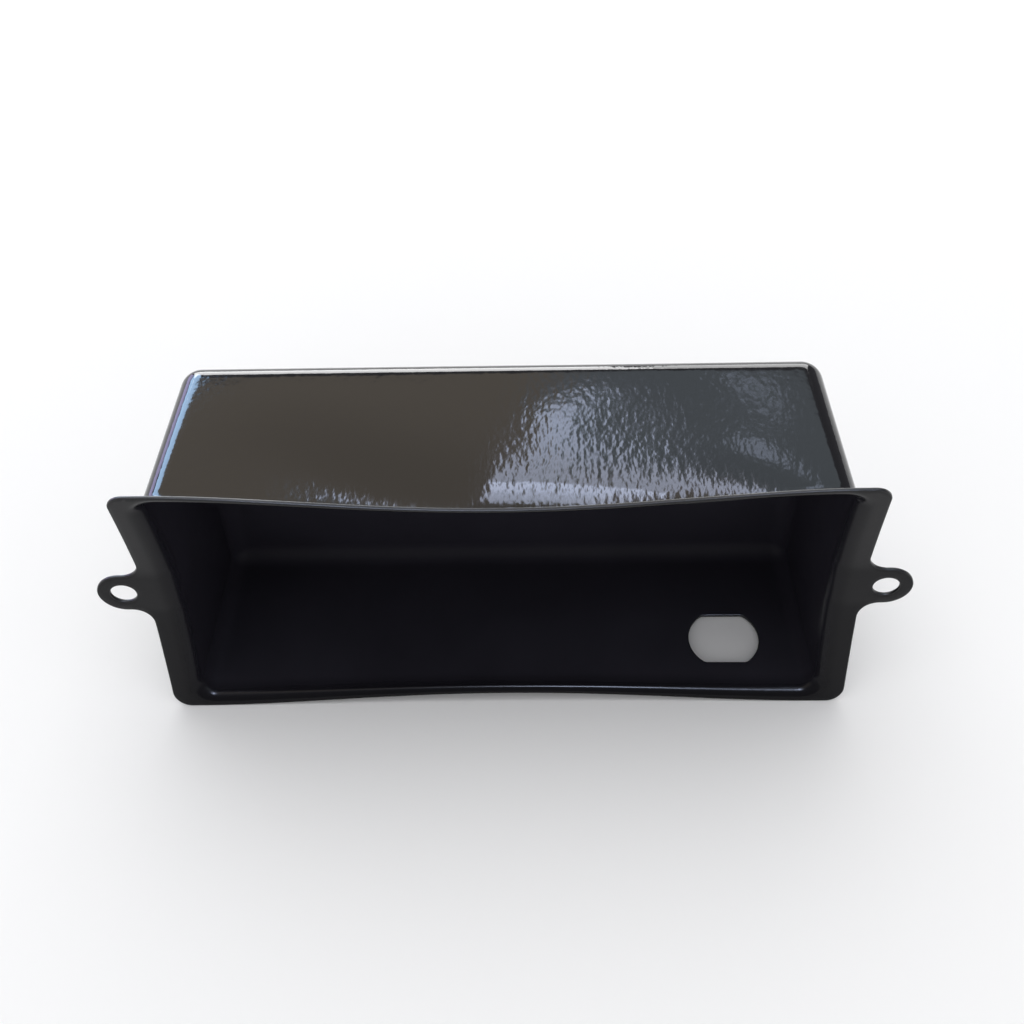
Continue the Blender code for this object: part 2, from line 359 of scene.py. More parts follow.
def port_outline():
    """The double-D, with its corners softened by paint, in X and Y."""
    radius = PORT_DIAMETER / 2 + EDGE_RADIUS
    flat = PORT_FLATS / 2 + EDGE_RADIUS
    corner_y = flat - PORT_CORNER
    corner_x = math.sqrt((radius - PORT_CORNER) ** 2 - corner_y ** 2)
    touch = math.atan2(corner_y, corner_x)
    quarter = arc((0.0, 0.0), radius, 0.0, touch, EDGE_STEPS)
    quarter += arc((corner_x, corner_y), PORT_CORNER, touch, QUARTER, EDGE_STEPS)
    quarter += [(corner_x * (1 - i / EDGE_STEPS), flat) for i in range(EDGE_STEPS)]
    half = quarter + [(-x, y) for x, y in reversed(quarter[1:])]
    loop = half + [(-x, -y) for x, y in half]
    return [(PORT_OFFSET + x, PORT_DEPTH + y) for x, y in loop]


outline = flange_outline()
ear_holes = [ear_hole(-1), ear_hole(1)]
port = port_outline()
print("outline of", len(outline), "points, port of", len(port))

# %% [markdown]
# ## Filling flat regions
#
# The flange lies between the last ring and the outline, with two holes in it, and the wall round the
# port is a rectangle with one hole. A constrained Delaunay triangulation fills such a region with
# well-shaped triangles, and the shape rules then lift each new point onto the real surface. It also fills
# any hair-thin gap beside a nearly straight border, so triangles with hardly any area are dropped.

# %% Region filler
FILL_PITCH = 0.0012
FILL_CLEARANCE = 0.0007
CDT_TOLERANCE = 1e-7
SLIVER = 1e-8


def crossings(point, starts, ends):
    """How many loop edges lie to the right of a point."""
    spans = (starts[:, 1] > point[1]) != (ends[:, 1] > point[1])
    a = starts[spans]
    b = ends[spans]
    meet = a[:, 0] + (point[1] - a[:, 1]) * (b[:, 0] - a[:, 0]) / (b[:, 1] - a[:, 1])
    return int((meet > point[0]).sum())


def fill_region(loops):
    """Points and triangles of the region inside an odd number of the closed loops."""
    points = [point for loop in loops for point in loop]
    edges = []
    first = 0
    for loop in loops:
        count = len(loop)
        edges += [(first + i, first + (i + 1) % count) for i in range(count)]
        first += count
    flat = np.array(points)
    starts = flat[[a for a, _ in edges]]
    ends = flat[[b for _, b in edges]]
    low = flat.min(axis=0)
    high = flat.max(axis=0)
    for u in np.arange(low[0], high[0], FILL_PITCH):
        for v in np.arange(low[1], high[1], FILL_PITCH):
            clear = np.hypot(flat[:, 0] - u, flat[:, 1] - v).min() > FILL_CLEARANCE
            if clear and crossings((u, v), starts, ends) % 2:
                points.append((float(u), float(v)))
    made = delaunay_2d_cdt([Vector(p) for p in points], edges, [], 0, CDT_TOLERANCE)
    triangles = []
    for face in made[2]:
        corners = [made[0][i] for i in face]
        centre = sum(corners, Vector((0.0, 0.0))) / 3
        twice_area = (corners[1] - corners[0]).cross(corners[2] - corners[0])
        if abs(twice_area) > SLIVER and crossings(centre, starts, ends) % 2:
            triangles.append(face)
    return points, triangles


# %% [markdown]
# ## The skin
#
# The skin is the mouth side of the sheet as one open surface: bands of the tub, a filled patch round
# the port, and the flange. Its faces look at the hollow side.

# %% Build the skin
PORT_MARGIN = 0.0035


def port_window():
    """Ring and station numbers of the rectangle that holds the port."""
    wide = PORT_DIAMETER / 2 + PORT_MARGIN
    tall = PORT_FLATS / 2 + PORT_MARGIN
    columns = []
    for i, place in enumerate(places):
        x = rings[first_wall_ring + WALL_STEPS // 2][i].x
        if place[0] == "long" and place[2] < 0 and abs(x - PORT_OFFSET) < wide:
            columns.append(i)
    rows = []
    for j in range(first_wall_ring, first_wall_ring + WALL_STEPS):
        if abs(rings[j][columns[0]].y - PORT_DEPTH) < tall:
            rows.append(j)
    return rows, columns


def add_band(bm, ring, following, skipped):
    """Four-sided faces between two rings, apart from the skipped stations."""
    count = len(ring)
    for i in range(count):
        if i not in skipped:
            j = (i + 1) % count
            bm.faces.new((ring[i], following[i], following[j], ring[j]))


def add_patch(bm, loops, known, lift):
    """A filled region whose first points are vertices that the mesh already has."""
    points, triangles = fill_region(loops)
    added = [bm.verts.new(lift(u, v)) for u, v in points[len(known):]]
    verts = list(known) + added
    for triangle in triangles:
        bm.faces.new([verts[i] for i in triangle])
    return added


def pan_skin():
    """The mouth side of the sheet, and its vertices on the flange."""
    bm = bmesh.new()
    rows, columns = port_window()
    gone = {(j, i) for j in rows[1:-1] for i in columns[1:-1]}
    loops = []
    for j, ring in enumerate(rings):
        loops.append([None if (j, i) in gone else bm.verts.new(p) for i, p in enumerate(ring)])
    bm.faces.new(loops[0])
    for j in range(len(loops) - 1):
        skipped = set(columns[:-1]) if j in rows[:-1] else set()
        add_band(bm, loops[j], loops[j + 1], skipped)
    frame_verts = [loops[rows[0]][i] for i in columns]
    frame_verts += [loops[j][columns[-1]] for j in rows[1:]]
    frame_verts += [loops[rows[-1]][i] for i in reversed(columns[:-1])]
    frame_verts += [loops[j][columns[0]] for j in reversed(rows[1:-1])]
    around = [(v.co.x, v.co.y) for v in frame_verts]
    add_patch(bm, [around, port], frame_verts, lambda x, y: Vector((x, y, port_wall(x, y))))
    lip = [(v.co.x, v.co.z) for v in loops[-1]]
    flat = [lip, outline] + ear_holes
    flange = add_patch(bm, flat, loops[-1], lambda x, z: Vector((x, saddle(z), z)))
    bm.verts.index_update()
    bm.normal_update()
    return bm, flange


skin, flange = pan_skin()
print(len(skin.verts), "vertices and", len(skin.faces), "faces in the skin")

# %% [markdown]
# ## What the edges need to know
#
# Geometry Nodes will grow the rounded paint edge, and for that each vertex on a cut edge has to know
# which way is out of the sheet, in its own plane. The mesh carries this as a named attribute. A second
# one says which way the sheet's thickness runs: square to the surface, but along the press stroke where
# the trimming tool cut the flange's corners. A third says where the walls' slight ripple may act, and the
# last one, for the paint, where the surface lies inside the pan.

# %% Attributes of the skin
RIPPLE_FADE = 0.010
HOLLOW_FADE = 0.006
PRESS_CUT_FROM = 0.0400
PRESS_CUT_FULL = 0.0425


def outward_directions(bm):
    """For each vertex on a cut edge, the direction out of the sheet in its own plane."""
    out = [Vector((0.0, 0.0, 0.0)) for _ in bm.verts]
    for edge in bm.edges:
        if edge.is_boundary:
            a, b = edge.verts
            along = (b.co - a.co).normalized()
            away = (a.co + b.co) / 2 - edge.link_faces[0].calc_center_median()
            away -= along * away.dot(along)
            for vert in (a, b):
                out[vert.index] += away.normalized()
    return [v.normalized() if v.length > 0 else v for v in out]


def behind_directions(bm, flange):
    """For each vertex, the step through the sheet to its other side, for a sheet of thickness 1."""
    behind = [-v.normal for v in bm.verts]
    for vert in flange:
        share = (abs(vert.co.z) - PRESS_CUT_FROM) / (PRESS_CUT_FULL - PRESS_CUT_FROM)
        share = min(max(share, 0.0), 1.0)
        stroke = Vector((0.0, -1 / vert.normal.y, 0.0))
        behind[vert.index] = behind[vert.index].lerp(stroke, share)
    return behind


def wall_share(point):
    """1 on the walls, fading to 0 towards the flange and the closed end."""
    from_mouth = point.y - SADDLE_RECESS
    from_end = DEPTH - CLOSED_END_RADIUS - point.y
    return min(max(min(from_mouth, from_end) / RIPPLE_FADE, 0.0), 1.0)


# The paint also uses this share to lift the inside colour with painted light, for light reflected into the
# pan.
def hollow_share(point):
    """0 on the flange, rising to 1 a little way inside the pan."""
    return min(max((point.y - saddle(point.z)) / HOLLOW_FADE, 0.0), 1.0)


outward = outward_directions(skin)
behind = behind_directions(skin, flange)
on_wall = [wall_share(v.co) for v in skin.verts]
hollow = [hollow_share(v.co) for v in skin.verts]
skin_mesh = bpy.data.meshes.new("pan_skin")
skin.to_mesh(skin_mesh)
skin.free()
turned = at_rest.to_3x3()
for name, vectors in (("outward", outward), ("behind", behind)):
    attribute = skin_mesh.attributes.new(name, "FLOAT_VECTOR", "POINT")
    attribute.data.foreach_set("vector", [c for v in vectors for c in turned @ v])
for name, values in (("on_wall", on_wall), ("hollow", hollow)):
    attribute = skin_mesh.attributes.new(name, "FLOAT", "POINT")
    attribute.data.foreach_set("value", values)
skin_mesh.transform(at_rest)
print(sum(1 for v in outward if v.length > 0), "vertices lie on cut edges")

# %% [markdown]
# ## Black paint
#
# Thick paint on a pressing is glossy but never flat: as it flows and dries it keeps a ripple of a
# millimetre or two, the orange peel, and a longer, softer swell. On this pan both are drawn out a little
# along the press stroke, so the pattern is stretched in Y. They change the normal and hardly the colour.
# They go into node groups, because the outside, the inside and the cut edges all use them with their own
# values.


# %% Shader groups
PEEL_STRETCH = 0.6
PEEL_DETAIL = 1.5
SWELL_DETAIL = 1.0
HAZE_DETAIL = 4.0
HAZE_ROUGHNESS = 0.55
EVEN_ROUGHNESS = 0.5


def add_node(tree, kind, **settings):
    """A node with its properties set."""
    node = tree.nodes.new(kind)
    for name, value in settings.items():
        setattr(node, name, value)
    return node


def new_group(name, inputs, outputs):
    """An empty shader group with float inputs and outputs."""
    group = bpy.data.node_groups.new(name, "ShaderNodeTree")
    for label, value in inputs.items():
        socket = group.interface.new_socket(name=label, in_out="INPUT", socket_type="NodeSocketFloat")
        socket.default_value = value
    for label in outputs:
        group.interface.new_socket(name=label, in_out="OUTPUT", socket_type="NodeSocketFloat")
    return group, add_node(group, "NodeGroupInput"), add_node(group, "NodeGroupOutput")


def noise(tree, coordinates, scale, detail, roughness):
    """A noise texture on given coordinates."""
    texture = add_node(tree, "ShaderNodeTexNoise")
    tree.links.new(coordinates, texture.inputs["Vector"])
    tree.links.new(scale, texture.inputs["Scale"])
    texture.inputs["Detail"].default_value = detail
    texture.inputs["Roughness"].default_value = roughness
    return texture.outputs["Fac"]


def calculate(tree, operation, *values):
    """A Math node fed by sockets or plain numbers."""
    node = add_node(tree, "ShaderNodeMath", operation=operation)
    for socket, value in zip(node.inputs, values):
        if isinstance(value, (int, float)):
            socket.default_value = value
        else:
            tree.links.new(value, socket)
    return node.outputs["Value"]


def orange_peel_group():
    """Height of the paint film: a fine ripple on a longer swell."""
    inputs = {"Peel scale": 520.0, "Swell scale": 150.0, "Swell share": 0.6}
    group, given, result = new_group("orange_peel", inputs, ["Height"])
    where = add_node(group, "ShaderNodeTexCoord").outputs["Object"]
    drawn = add_node(group, "ShaderNodeVectorMath", operation="MULTIPLY")
    group.links.new(where, drawn.inputs[0])
    drawn.inputs[1].default_value = (1.0, PEEL_STRETCH, 1.0)
    place = drawn.outputs["Vector"]
    peel = noise(group, place, given.outputs["Peel scale"], PEEL_DETAIL, EVEN_ROUGHNESS)
    swell = noise(group, place, given.outputs["Swell scale"], SWELL_DETAIL, EVEN_ROUGHNESS)
    height = calculate(group, "MULTIPLY_ADD", swell, given.outputs["Swell share"], peel)
    group.links.new(height, result.inputs["Height"])
    return group


def handled_gloss_group():
    """Roughness that drifts a little, as where paint was touched or took a haze."""
    inputs = {"Gloss": 0.08, "Haze": 0.14, "Haze scale": 28.0}
    group, given, result = new_group("handled_gloss", inputs, ["Roughness"])
    where = add_node(group, "ShaderNodeTexCoord").outputs["Object"]
    patches = noise(group, where, given.outputs["Haze scale"], HAZE_DETAIL, HAZE_ROUGHNESS)
    spread = calculate(group, "SUBTRACT", given.outputs["Haze"], given.outputs["Gloss"])
    rough = calculate(group, "MULTIPLY_ADD", spread, patches, given.outputs["Gloss"])
    group.links.new(rough, result.inputs["Roughness"])
    return group


orange_peel = orange_peel_group()
handled_gloss = handled_gloss_group()
print("shader groups:", orange_peel.name, "and", handled_gloss.name)

# %% [markdown]
# ## Three finishes of one paint
#
# The outside took most paint and ripples most. The inside was sprayed through the mouth, so it is duller,
# and deep inside dry spray roughens it in soft patches. In the same patches its colour is lifted to a faint
# blue: painted light that stands in for the light reflected into the pan. On the cut edges the film pulls
# thin: it hardly ripples there, and it has lost most of its gloss.

# %% Paint materials
PEEL_DEPTH = 0.000034
INSIDE_PEEL_SHARE = 0.4
EDGE_PEEL_SHARE = 0.2
PAINT_IOR = 1.5
DULL_IOR = 1.26
BLACK = (0.0050, 0.0048, 0.0060, 1.0)
# Bluish lift of the inside colour: painted light that stands in for the light reflected into the pan.
INSIDE_PAINTED_LIGHT = (0.0230, 0.0215, 0.0300, 1.0)
SPRAY_AND_LIGHT_SCALE = 40.0
SPRAY_AND_LIGHT_DETAIL = 3.0
SPRAY_AND_LIGHT_LEAST = 0.6
SPRAY_AND_LIGHT_RANGE = 0.5
DRY_ROUGHNESS = 0.25


def black_paint(name, depth, gloss, haze, peel_scale, ior):
    """Gloss black paint with orange peel of a given depth in metres."""
    material = bpy.data.materials.new(name)
    material.use_nodes = True
    tree = material.node_tree
    shader = tree.nodes["Principled BSDF"]
    shader.inputs["Base Color"].default_value = BLACK
    shader.inputs["IOR"].default_value = ior
    film = add_node(tree, "ShaderNodeGroup", node_tree=orange_peel)
    film.inputs["Peel scale"].default_value = peel_scale
    bump = add_node(tree, "ShaderNodeBump")
    bump.inputs["Strength"].default_value = 1.0
    bump.inputs["Distance"].default_value = depth
    tree.links.new(film.outputs["Height"], bump.inputs["Height"])
    tree.links.new(bump.outputs["Normal"], shader.inputs["Normal"])
    touched = add_node(tree, "ShaderNodeGroup", node_tree=handled_gloss)
    touched.inputs["Gloss"].default_value = gloss
    touched.inputs["Haze"].default_value = haze
    tree.links.new(touched.outputs["Roughness"], shader.inputs["Roughness"])
    return material


def add_dry_spray_and_painted_light(material):
    """Roughens a paint with dry spray and lifts its colour as painted light, in soft patches, inside the
    pan.
    """
    tree = material.node_tree
    inside = add_node(tree, "ShaderNodeAttribute", attribute_name="hollow").outputs["Fac"]
    where = add_node(tree, "ShaderNodeTexCoord").outputs["Object"]
    cloud = add_node(tree, "ShaderNodeTexNoise")
    tree.links.new(where, cloud.inputs["Vector"])
    cloud.inputs["Scale"].default_value = SPRAY_AND_LIGHT_SCALE
    cloud.inputs["Detail"].default_value = SPRAY_AND_LIGHT_DETAIL
    share = calculate(tree, "MULTIPLY_ADD", cloud.outputs["Fac"], SPRAY_AND_LIGHT_RANGE, SPRAY_AND_LIGHT_LEAST)
    mix = add_node(tree, "ShaderNodeMix", data_type="RGBA")
    amount = calculate(tree, "MULTIPLY", share, inside)
    tree.links.new(amount, mix.inputs["Factor"])
    mix.inputs[6].default_value = BLACK
    # The lighter bluish colour is painted light, standing in for the light reflected into the pan.
    mix.inputs[7].default_value = INSIDE_PAINTED_LIGHT
    shader = tree.nodes["Principled BSDF"]
    tree.links.new(mix.outputs[2], shader.inputs["Base Color"])
    gloss = shader.inputs["Roughness"].links[0].from_socket
    dulled = calculate(tree, "MULTIPLY_ADD", amount, DRY_ROUGHNESS, gloss)
    tree.links.new(dulled, shader.inputs["Roughness"])


outside_paint = black_paint("outside_paint", depth=PEEL_DEPTH, gloss=0.05, haze=0.10,
                            peel_scale=620.0, ior=PAINT_IOR)
inside_paint = black_paint("inside_paint", depth=PEEL_DEPTH * INSIDE_PEEL_SHARE, gloss=0.12, haze=0.22,
                           peel_scale=480.0, ior=DULL_IOR)
edge_paint = black_paint("edge_paint", depth=PEEL_DEPTH * EDGE_PEEL_SHARE, gloss=0.30, haze=0.38,
                         peel_scale=600.0, ior=PAINT_IOR)
add_dry_spray_and_painted_light(inside_paint)
print("paints:", outside_paint.name, inside_paint.name, edge_paint.name)

# %% [markdown]
# ## From skin to painted sheet
#
# A pressing is a surface with a thickness, so the tree starts from the skin. It ripples the walls by
# hundredths of a millimetre, copies the skin one sheet thickness behind, and grows the cut edges back in
# a few extrusions that follow a rounded profile. One tree so handles the flange's outline, both ear holes
# and the port. Solidify with a Bevel would come close, but it would bevel the lip's bend as well.

# %% Geometry Nodes tree
ROUND_STEPS = 3
WELD = 0.000002
RIPPLE_DETAIL = 1.0
NOISE_MEAN = 0.5


def edge_profile():
    """Steps round a cut edge, as shares of the edge radius out, the radius back, and the flat back."""
    steps = []
    for i in range(1, ROUND_STEPS + 1):
        angle = QUARTER * i / ROUND_STEPS
        steps.append((math.sin(angle), 1 - math.cos(angle), 0.0))
    steps.append((1.0, 1.0, 1.0))
    for i in range(1, ROUND_STEPS + 1):
        angle = QUARTER * i / ROUND_STEPS
        steps.append((math.cos(angle), 1 + math.sin(angle), 1.0))
    return steps


def scaled(tree, vector, factor):
    """A vector field times a number field."""
    node = add_node(tree, "ShaderNodeVectorMath", operation="SCALE")
    tree.links.new(vector, node.inputs[0])
    tree.links.new(factor, node.inputs["Scale"])
    return node.outputs["Vector"]


def summed(tree, first, second):
    """The sum of two vector fields."""
    node = add_node(tree, "ShaderNodeVectorMath", operation="ADD")
    tree.links.new(first, node.inputs[0])
    tree.links.new(second, node.inputs[1])
    return node.outputs["Vector"]


def named(tree, name, kind):
    """A field read from a named attribute."""
    node = add_node(tree, "GeometryNodeInputNamedAttribute", data_type=kind)
    node.inputs["Name"].default_value = name
    return node.outputs["Attribute"]


def stored(tree, geometry, name, field, kind, domain):
    """Geometry that keeps a field under a name."""
    node = add_node(tree, "GeometryNodeStoreNamedAttribute", data_type=kind, domain=domain)
    node.inputs["Name"].default_value = name
    tree.links.new(geometry, node.inputs["Geometry"])
    tree.links.new(field, node.inputs["Value"])
    return node.outputs["Geometry"]


def moved(tree, geometry, selection=None, position=None, offset=None):
    """Geometry with some of its points moved."""
    node = add_node(tree, "GeometryNodeSetPosition")
    tree.links.new(geometry, node.inputs["Geometry"])
    for name, field in (("Selection", selection), ("Position", position), ("Offset", offset)):
        if field is not None:
            tree.links.new(field, node.inputs[name])
    return node.outputs["Geometry"]


def finished(tree, geometry, material, selection=None):
    """Geometry with a material on the selected faces."""
    node = add_node(tree, "GeometryNodeSetMaterial")
    tree.links.new(geometry, node.inputs["Geometry"])
    tree.links.new(material, node.inputs["Material"])
    if selection is not None:
        tree.links.new(selection, node.inputs["Selection"])
    return node.outputs["Geometry"]


def painted_sheet_tree():
    """Skin to sheet: ripple, thickness, rounded cut edges and three paints."""
    tree = bpy.data.node_groups.new("painted_sheet", "GeometryNodeTree")
    face = tree.interface
    face.new_socket(name="Geometry", in_out="INPUT", socket_type="NodeSocketGeometry")
    for name in ("Sheet", "Edge radius", "Ripple height", "Ripple scale"):
        face.new_socket(name=name, in_out="INPUT", socket_type="NodeSocketFloat")
    for name in ("Inside paint", "Outside paint", "Edge paint"):
        face.new_socket(name=name, in_out="INPUT", socket_type="NodeSocketMaterial")
    face.new_socket(name="Geometry", in_out="OUTPUT", socket_type="NodeSocketGeometry")
    given = add_node(tree, "NodeGroupInput").outputs
    result = add_node(tree, "NodeGroupOutput")
    normal = add_node(tree, "GeometryNodeInputNormal").outputs["Normal"]
    place = add_node(tree, "GeometryNodeInputPosition").outputs["Position"]

    wave = noise(tree, place, given["Ripple scale"], RIPPLE_DETAIL, EVEN_ROUGHNESS)
    wave = calculate(tree, "SUBTRACT", wave, NOISE_MEAN)
    wave = calculate(tree, "MULTIPLY", wave, given["Ripple height"])
    wave = calculate(tree, "MULTIPLY", wave, named(tree, "on_wall", "FLOAT"))
    skin = moved(tree, given["Geometry"], offset=scaled(tree, normal, wave))
    skin = stored(tree, skin, "seat", place, "FLOAT_VECTOR", "POINT")
    seat = named(tree, "seat", "FLOAT_VECTOR")
    away = named(tree, "outward", "FLOAT_VECTOR")
    behind = named(tree, "behind", "FLOAT_VECTOR")

    back = moved(tree, skin, offset=scaled(tree, behind, given["Sheet"]))
    flip = add_node(tree, "GeometryNodeFlipFaces")
    tree.links.new(back, flip.inputs["Mesh"])
    back = finished(tree, flip.outputs["Mesh"], given["Outside paint"])

    sheet = finished(tree, skin, given["Inside paint"])
    radius = given["Edge radius"]
    flat = calculate(tree, "MULTIPLY_ADD", radius, -2.0, given["Sheet"])
    neighbours = add_node(tree, "GeometryNodeInputMeshEdgeNeighbors").outputs["Face Count"]
    rim = add_node(tree, "FunctionNodeCompare", data_type="INT", operation="EQUAL")
    tree.links.new(neighbours, rim.inputs[2])
    rim.inputs[3].default_value = 1
    edge = rim.outputs["Result"]
    cut = named(tree, "cut_edge", "BOOLEAN")
    for out, back_round, back_flat in edge_profile():
        grow = add_node(tree, "GeometryNodeExtrudeMesh", mode="EDGES")
        grow.inputs["Offset Scale"].default_value = 0.0
        tree.links.new(sheet, grow.inputs["Mesh"])
        tree.links.new(edge, grow.inputs["Selection"])
        depth = calculate(tree, "MULTIPLY", radius, back_round)
        depth = calculate(tree, "MULTIPLY_ADD", flat, back_flat, depth)
        reach = calculate(tree, "MULTIPLY", radius, out)
        target = summed(tree, seat, scaled(tree, away, reach))
        target = summed(tree, target, scaled(tree, behind, depth))
        edge = grow.outputs["Top"]
        sheet = moved(tree, grow.outputs["Mesh"], selection=edge, position=target)
        either = add_node(tree, "FunctionNodeBooleanMath", operation="OR")
        tree.links.new(cut, either.inputs[0])
        tree.links.new(grow.outputs["Side"], either.inputs[1])
        sheet = stored(tree, sheet, "cut_edge", either.outputs["Boolean"], "BOOLEAN", "FACE")

    join = add_node(tree, "GeometryNodeJoinGeometry")
    tree.links.new(sheet, join.inputs["Geometry"])
    tree.links.new(back, join.inputs["Geometry"])
    weld = add_node(tree, "GeometryNodeMergeByDistance")
    weld.inputs["Distance"].default_value = WELD
    tree.links.new(join.outputs["Geometry"], weld.inputs["Geometry"])
    real = add_node(tree, "GeometryNodeRealizeInstances")
    tree.links.new(weld.outputs["Geometry"], real.inputs["Geometry"])
    painted = finished(tree, real.outputs["Geometry"], given["Edge paint"], cut)
    tree.links.new(painted, result.inputs["Geometry"])
    return tree


sheet_tree = painted_sheet_tree()
print("painted_sheet has", len(sheet_tree.nodes), "nodes")

# %% [markdown]
# ## The painted pan
#
# The modifier's inputs are set by their identifiers before anything is evaluated. The result becomes a
# plain mesh, which stands for all three CAD nodes: the real pan shows no seam between tub and flanges.

# %% Make the pan
RIPPLE_HEIGHT = 0.00006
RIPPLE_SCALE = 45.0


def run_tree(name, mesh, tree, values):
    """The mesh that a tree makes from a start mesh, as a new plain object."""
    start = bpy.data.objects.new(name + "_start", mesh)
    bpy.context.scene.collection.objects.link(start)
    modifier = start.modifiers.new("shape", "NODES")
    modifier.node_group = tree
    for socket in tree.interface.items_tree:
        if socket.in_out == "INPUT" and socket.name in values:
            modifier[socket.identifier] = values[socket.name]
    bpy.context.view_layer.update()
    graph = bpy.context.evaluated_depsgraph_get()
    made = bpy.data.meshes.new_from_object(start.evaluated_get(graph))
    bpy.data.objects.remove(start)
    made.name = name
    piece = bpy.data.objects.new(name, made)
    bpy.context.scene.collection.objects.link(piece)
    return piece


pan = run_tree("painted_pan", skin_mesh, sheet_tree, {
    "Sheet": SHEET,
    "Edge radius": EDGE_RADIUS,
    "Ripple height": RIPPLE_HEIGHT,
    "Ripple scale": RIPPLE_SCALE,
    "Inside paint": inside_paint,
    "Outside paint": outside_paint,
    "Edge paint": edge_paint,
})
for name in ("seat", "behind", "outward", "on_wall", "cut_edge"):
    if name in pan.data.attributes:
        pan.data.attributes.remove(pan.data.attributes[name])
pan.data.shade_smooth()
check = bmesh.new()
check.from_mesh(pan.data)
open_edges = sum(1 for edge in check.edges if not edge.is_manifold)
print("painted_pan:", len(check.verts), "vertices,", open_edges, "open edges,",
      round(check.calc_volume(signed=True) * 1e9), "cubic millimetres,",
      sum(len(f.verts) - 2 for f in check.faces), "triangles,",
      [m.name for m in pan.data.materials])
check.free()
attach(pan, "root")
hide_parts("drawn_tub", "left_end_flange", "right_end_flange")

# %% [markdown]
# ## The floor
#
# The pan lies on a plain pale floor. It could be a curved studio sweep, but from this angle one large flat
# plane fills the picture. It also does some of the lighting: seen from above, the flanges mirror the floor
# in front of them, which is why they look grey although their paint is black.

# %% Floor
FLOOR_HALF = 3.0
FLOOR_WHITE = (0.90, 0.90, 0.90, 1.0)
FLOOR_ROUGHNESS = 0.9


def pale_floor():
    """A large pale plane under the pan."""
    bm = bmesh.new()
    bmesh.ops.create_grid(bm, x_segments=1, y_segments=1, size=FLOOR_HALF)
    mesh = bpy.data.meshes.new("floor")
    bm.to_mesh(mesh)
    bm.free()
    floor = bpy.data.objects.new("floor", mesh)
    bpy.context.scene.collection.objects.link(floor)
    material = bpy.data.materials.new("pale_floor")
    material.use_nodes = True
    shader = material.node_tree.nodes["Principled BSDF"]
    shader.inputs["Base Color"].default_value = FLOOR_WHITE
    shader.inputs["Roughness"].default_value = FLOOR_ROUGHNESS
    mesh.materials.append(material)


pale_floor()
print("floor of", 2 * FLOOR_HALF, "metres")

# %% [markdown]
# ## The room that the gloss mirrors
#
# Black gloss paint has hardly a colour of its own, so half of its look is the room. The world here is a
# plain even light for everything matt. Only rays that leave a glossy surface see a room in it: warm on the
# left and cool on the right behind the pan, above a dark band, and dim elsewhere. Light Path tells the rays
# apart, so the floor stays neutral.

# %% Room
EVEN_LIGHT = (0.70, 0.70, 0.71, 1.0)
ROOM_LEFT = (1.16, 1.02, 0.84, 1.0)
ROOM_RIGHT = (0.92, 1.05, 1.16, 1.0)
ROOM_DIM = (0.22, 0.22, 0.24, 1.0)
SIDES_MEET = (-0.02, 0.04)
BAND_TOP = (math.sin(math.radians(33.0)), math.sin(math.radians(34.8)))
BACK_FROM = (-0.5, 0.0)


def ramp(tree, value, low, high):
    """0 to 1 as a value goes from low to high, eased at both ends."""
    node = add_node(tree, "ShaderNodeMapRange", interpolation_type="SMOOTHSTEP")
    tree.links.new(value, node.inputs["Value"])
    node.inputs["From Min"].default_value = low
    node.inputs["From Max"].default_value = high
    return node.outputs["Result"]


def blend(tree, share, first, second):
    """A mix of two colours, each a socket or a plain colour."""
    node = add_node(tree, "ShaderNodeMix", data_type="RGBA")
    tree.links.new(share, node.inputs["Factor"])
    for socket, colour in ((node.inputs[6], first), (node.inputs[7], second)):
        if isinstance(colour, tuple):
            socket.default_value = colour
        else:
            tree.links.new(colour, socket)
    return node.outputs[2]


def soft_room():
    """Even light for matt surfaces, and a room for glossy ones to mirror."""
    world = bpy.data.worlds.new("soft_room")
    world.use_nodes = True
    tree = world.node_tree
    split = add_node(tree, "ShaderNodeSeparateXYZ")
    tree.links.new(add_node(tree, "ShaderNodeTexCoord").outputs["Generated"], split.inputs["Vector"])
    sides = blend(tree, ramp(tree, split.outputs["X"], *SIDES_MEET), ROOM_LEFT, ROOM_RIGHT)
    raised = ramp(tree, split.outputs["Z"], *BAND_TOP)
    back = calculate(tree, "MULTIPLY", raised, ramp(tree, split.outputs["Y"], *BACK_FROM))
    room = blend(tree, back, ROOM_DIM, sides)
    mirrored = add_node(tree, "ShaderNodeLightPath").outputs["Is Glossy Ray"]
    seen = blend(tree, mirrored, EVEN_LIGHT, room)
    tree.links.new(seen, tree.nodes["Background"].inputs["Color"])
    bpy.context.scene.world = world


soft_room()
print("world:", bpy.context.scene.world.name)

# %% [markdown]
# ## Lights and panels
#
# One large soft key light above and a little behind gives the pale floor its light and leaves a faint shade
# in front. The rest are panels that only the gloss sees. Each is given by the degrees that it spans round
# and up, as seen from the pan, with straight behind as 0. These angles are found by following a ray from
# the camera off the paint. The tall window makes the bright patch on the plain wall, low panels draw the
# line along the closed end, the blue ones light the left corner, and a lamp high in front gives the thin
# highlight on the lower lip.

# %% Light
AIM = Vector((0.0, 0.0, 0.05))
PANEL_DISTANCE = 4.0
KEY_DISTANCE = 2.4
KEY_SIZE = 3.0
KEY_TOWARDS = Vector((-0.1, 0.45, 1.0)).normalized()
KEY_RADIANCE = 1.35
WINDOW = (0.66, 0.75, 1.0)
SKY = (0.46, 0.69, 1.0)
HAZE = (0.66, 0.61, 1.0)
WHITE = (1.0, 1.0, 1.0)


def area_light(name, towards, distance, width, height, radiance, colour):
    """A rectangular light that faces the pan, set by how bright its own surface is."""
    light = bpy.data.lights.new(name, "AREA")
    light.shape = "RECTANGLE"
    light.size = width
    light.size_y = height
    light.color = colour
    light.energy = radiance * math.pi * width * height
    lamp = bpy.data.objects.new(name, light)
    bpy.context.scene.collection.objects.link(lamp)
    lamp.location = AIM + towards * distance
    lamp.rotation_euler = towards.to_track_quat("Z", "Y").to_euler()
    lamp.visible_camera = False
    return lamp


